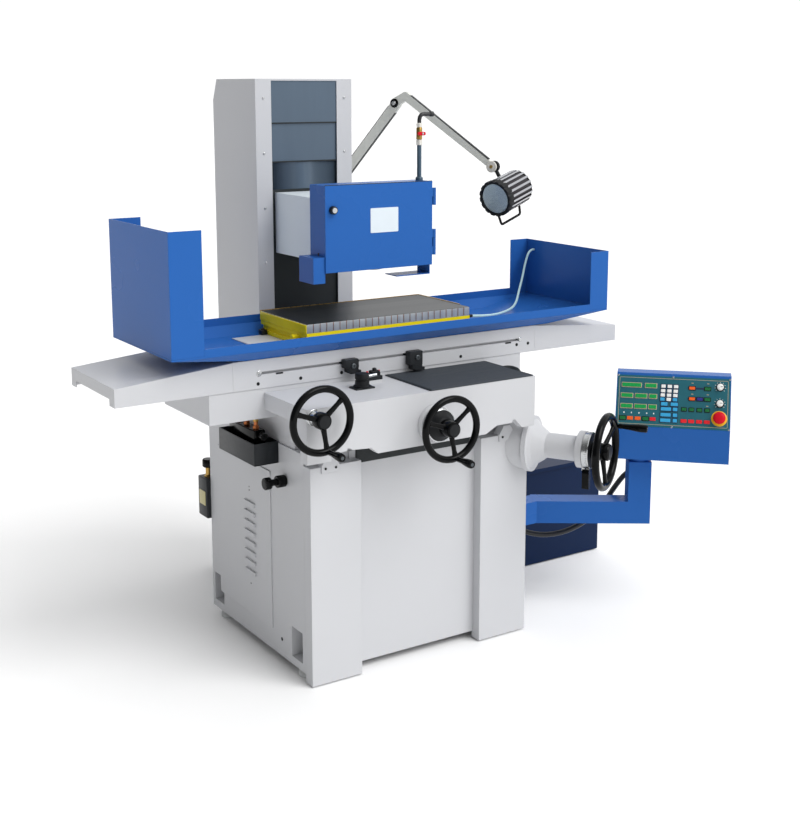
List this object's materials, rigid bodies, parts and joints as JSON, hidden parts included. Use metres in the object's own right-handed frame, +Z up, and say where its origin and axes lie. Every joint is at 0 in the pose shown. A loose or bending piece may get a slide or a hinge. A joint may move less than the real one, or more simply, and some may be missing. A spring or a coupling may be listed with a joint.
{
  "type": "surface grinder",
  "caption": "Column-type surface grinder with a blue splash guard, a yellow magnetic chuck, a guarded grinding wheel, black handwheels, a machine lamp and a swivelling control console.",
  "frame": {"origin": "on the floor, under the centre of the machine's overall box", "axes": "+X to the operator's right, along the table's travel; +Y from the operator towards the column; +Z up"},
  "size_m": [2.0024, 1.3742, 1.762],
  "materials": {
    "white_paint": "satin machine paint",
    "grey_paint": "satin machine paint",
    "blue_paint": "satin machine paint",
    "navy_paint": "satin tank paint",
    "yellow_paint": "gloss enamel",
    "slate_steel": "satin, wiped with oil",
    "cast_iron": "machined",
    "steel": "turned or ground",
    "black_plastic": "moulded phenolic",
    "red_plastic": "moulded",
    "rubber": "ribbed or smooth",
    "abrasive": "bonded grit",
    "cable_jacket": "smooth jacket",
    "lamp_steel": "polished, finned"
  },
  "bodies": {
    "base": {"base_casting": "white_paint", "front_cover": "white_paint", "access_door": "white_paint", "foot_front_left": "white_paint", "foot_front_right": "white_paint", "foot_rear_left": "white_paint", "foot_rear_right": "white_paint", "column_casting": "cast_iron", "column_cover": "grey_paint", "way_cover_top": "slate_steel", "coolant_tank": "navy_paint", "rear_valve_block": "black_plastic", "lube_unit": "black_plastic", "elevating_housing": "white_paint", "console_conduit": "rubber"},
    "side_knob": {"side_knob": "black_plastic"},
    "saddle": {"saddle_casting": "white_paint", "saddle_apron": "white_paint", "apron_mat": "rubber", "hydraulic_cylinder": "steel"},
    "reversing_lever": {"reversing_lever": "black_plastic"},
    "table_wheel": {"table_handwheel": "black_plastic"},
    "table_wheel_grip": {"table_wheel_grip": "black_plastic"},
    "cross_wheel": {"cross_handwheel": "black_plastic"},
    "cross_wheel_grip": {"cross_wheel_grip": "black_plastic"},
    "table": {"table_casting": "white_paint", "way_cover_left": "white_paint", "way_cover_right": "white_paint", "piston_rod": "steel", "splash_tray": "blue_paint", "guard_left": "blue_paint", "guard_right": "blue_paint", "chuck_body": "yellow_paint", "chuck_plate": "steel", "chuck_cable": "cable_jacket"},
    "trip_dog_left": {"trip_dog_left": "black_plastic"},
    "trip_dog_right": {"trip_dog_right": "black_plastic"},
    "head": {"wheelhead_casting": "grey_paint", "head_curtain": "slate_steel", "spindle_cartridge": "steel", "wheel_guard": "blue_paint", "coolant_pipe": "steel"},
    "way_plate": {"way_cover_middle": "slate_steel"},
    "elevating_screw": {"elevating_screw": "steel"},
    "elevating_wheel": {"elevating_handwheel": "black_plastic"},
    "elevating_grip": {"elevating_grip": "black_plastic"},
    "spindle": {"spindle_shaft": "steel", "grinding_wheel": "abrasive"},
    "guard_door": {"guard_door": "blue_paint"},
    "door_latch": {"door_latch": "steel"},
    "tap_lever": {"tap_lever": "red_plastic"},
    "lamp_post": {"lamp_post": "black_plastic"},
    "lamp_lower_arm": {"lamp_lower_arm": "grey_paint"},
    "lamp_upper_arm": {"lamp_upper_arm": "grey_paint"},
    "lamp_head": {"lamp_head": "lamp_steel"},
    "console_arm": {"console_arm": "blue_paint"},
    "console_box": {"console_box": "blue_paint"},
    "feed_knob": {"feed_knob": "steel"},
    "speed_knob": {"speed_knob": "steel"},
    "stop_button": {"stop_button": "red_plastic"}
  },
  "joints": [
    {"name": "saddle_slide", "type": "slide", "parent": "base", "child": "saddle", "axis": [0, 1, 0], "range_m": [-0.24, 0.06]},
    {"name": "table_slide", "type": "slide", "parent": "saddle", "child": "table", "axis": [1, 0, 0], "range_m": [-0.35, 0.35]},
    {"name": "table_wheel_spin", "type": "hinge", "parent": "saddle", "child": "table_wheel", "pos_m": [-0.52418, -0.51494, 0.839], "axis": [0, -1, 0], "range_deg": [-1726, 1726]},
    {"name": "table_grip_spin", "type": "hinge", "parent": "table_wheel", "child": "table_wheel_grip", "pos_m": [-0.50864, -0.52574, 0.75086], "axis": [0, -1, 0], "continuous": true},
    {"name": "cross_wheel_spin", "type": "hinge", "parent": "saddle", "child": "cross_wheel", "pos_m": [-0.12218, -0.55794, 0.767], "axis": [0, -1, 0], "range_deg": [-2162, 8642]},
    {"name": "cross_grip_spin", "type": "hinge", "parent": "cross_wheel", "child": "cross_wheel_grip", "pos_m": [-0.10664, -0.56874, 0.67886], "axis": [0, -1, 0], "continuous": true},
    {"name": "head_slide", "type": "slide", "parent": "base", "child": "head", "axis": [0, 0, 1], "range_m": [-0.11, 0.15]},
    {"name": "cover_slide", "type": "slide", "parent": "base", "child": "way_plate", "axis": [0, 0, 1], "range_m": [-0.056, 0.076]},
    {"name": "elevating_screw_spin", "type": "hinge", "parent": "base", "child": "elevating_screw", "pos_m": [-0.09618, 0.49706, 0.8], "axis": [0, 0, 1], "range_deg": [-5402, 3962]},
    {"name": "elevating_wheel_spin", "type": "hinge", "parent": "base", "child": "elevating_wheel", "pos_m": [0.43061, -0.60385, 0.625], "axis": [0.5299, -0.848, 0], "range_deg": [-5402, 3962]},
    {"name": "elevating_grip_spin", "type": "hinge", "parent": "elevating_wheel", "child": "elevating_grip", "pos_m": [0.51381, -0.56695, 0.68809], "axis": [0.5299, -0.848, 0], "continuous": true},
    {"name": "spindle_spin", "type": "hinge", "parent": "head", "child": "spindle", "pos_m": [-0.09618, -0.08794, 1.3], "axis": [0, -1, 0], "continuous": true},
    {"name": "guard_door_swing", "type": "hinge", "parent": "head", "child": "guard_door", "pos_m": [0.10532, -0.13394, 1.3], "axis": [0, 0, 1], "range_deg": [0, 110]},
    {"name": "door_latch_turn", "type": "hinge", "parent": "guard_door", "child": "door_latch", "pos_m": [-0.26618, -0.13624, 1.372], "axis": [0, -1, 0], "range_deg": [0, 90]},
    {"name": "tap_turn", "type": "hinge", "parent": "head", "child": "tap_lever", "pos_m": [0.07982, -0.08694, 1.592], "axis": [0, -1, 0], "range_deg": [0, 90]},
    {"name": "reversing_lever_turn", "type": "hinge", "parent": "saddle", "child": "reversing_lever", "pos_m": [-0.27618, -0.31794, 0.862], "axis": [0, 0, 1], "range_deg": [-25, 25]},
    {"name": "trip_dog_left_slide", "type": "slide", "parent": "table", "child": "trip_dog_left", "axis": [1, 0, 0], "range_m": [-0.26, 0.08]},
    {"name": "trip_dog_right_slide", "type": "slide", "parent": "table", "child": "trip_dog_right", "axis": [1, 0, 0], "range_m": [-0.08, 0.38]},
    {"name": "side_knob_turn", "type": "hinge", "parent": "base", "child": "side_knob", "pos_m": [-0.49618, -0.24294, 0.596], "axis": [-1, 0, 0], "range_deg": [-150, 150]},
    {"name": "lamp_swivel", "type": "hinge", "parent": "base", "child": "lamp_post", "pos_m": [0.11582, 0.52706, 1.345], "axis": [0, 0, 1], "range_deg": [-10, 100]},
    {"name": "lamp_shoulder", "type": "hinge", "parent": "lamp_post", "child": "lamp_lower_arm", "pos_m": [0.11582, 0.52706, 1.375], "axis": [0.9011, 0.4335, 0], "range_deg": [-30, 12]},
    {"name": "lamp_elbow", "type": "hinge", "parent": "lamp_lower_arm", "child": "lamp_upper_arm", "pos_m": [0.23012, 0.28506, 1.6813], "axis": [0.9011, 0.4335, 0], "range_deg": [-40, 12]},
    {"name": "lamp_tilt", "type": "hinge", "parent": "lamp_upper_arm", "child": "lamp_head", "pos_m": [0.39342, -0.05494, 1.4765], "axis": [0.9011, 0.4335, 0], "range_deg": [-30, 30]},
    {"name": "console_swing", "type": "hinge", "parent": "base", "child": "console_arm", "pos_m": [0.33882, -0.23294, 0.297], "axis": [0, 0, 1], "range_deg": [-4, 40], "deforming": ["console_conduit"]},
    {"name": "console_turn", "type": "hinge", "parent": "console_arm", "child": "console_box", "pos_m": [0.74025, -0.42614, 0.51], "axis": [0, 0, 1], "range_deg": [-20, 60]},
    {"name": "feed_knob_turn", "type": "hinge", "parent": "console_box", "child": "feed_knob", "pos_m": [0.90798, -0.61762, 0.77156], "axis": [-0.6355, -0.6355, 0.4384], "range_deg": [-150, 150]},
    {"name": "speed_knob_turn", "type": "hinge", "parent": "console_box", "child": "speed_knob", "pos_m": [0.89101, -0.63459, 0.72236], "axis": [-0.6355, -0.6355, 0.4384], "range_deg": [-150, 150]},
    {"name": "stop_press", "type": "slide", "parent": "console_box", "child": "stop_button", "axis": [0.6355, 0.6355, -0.4384], "range_m": [0, 0.004], "stiffness_N_per_m": 400}
  ],
  "couplings": [
    {"joint": "table_wheel_spin", "follows": "table_slide", "rad_per_m": -86},
    {"joint": "cross_wheel_spin", "follows": "saddle_slide", "rad_per_m": -628.32},
    {"joint": "cover_slide", "follows": "head_slide", "ratio": 0.5},
    {"joint": "elevating_screw_spin", "follows": "head_slide", "rad_per_m": -628.32},
    {"joint": "elevating_wheel_spin", "follows": "head_slide", "rad_per_m": -628.32}
  ]
}
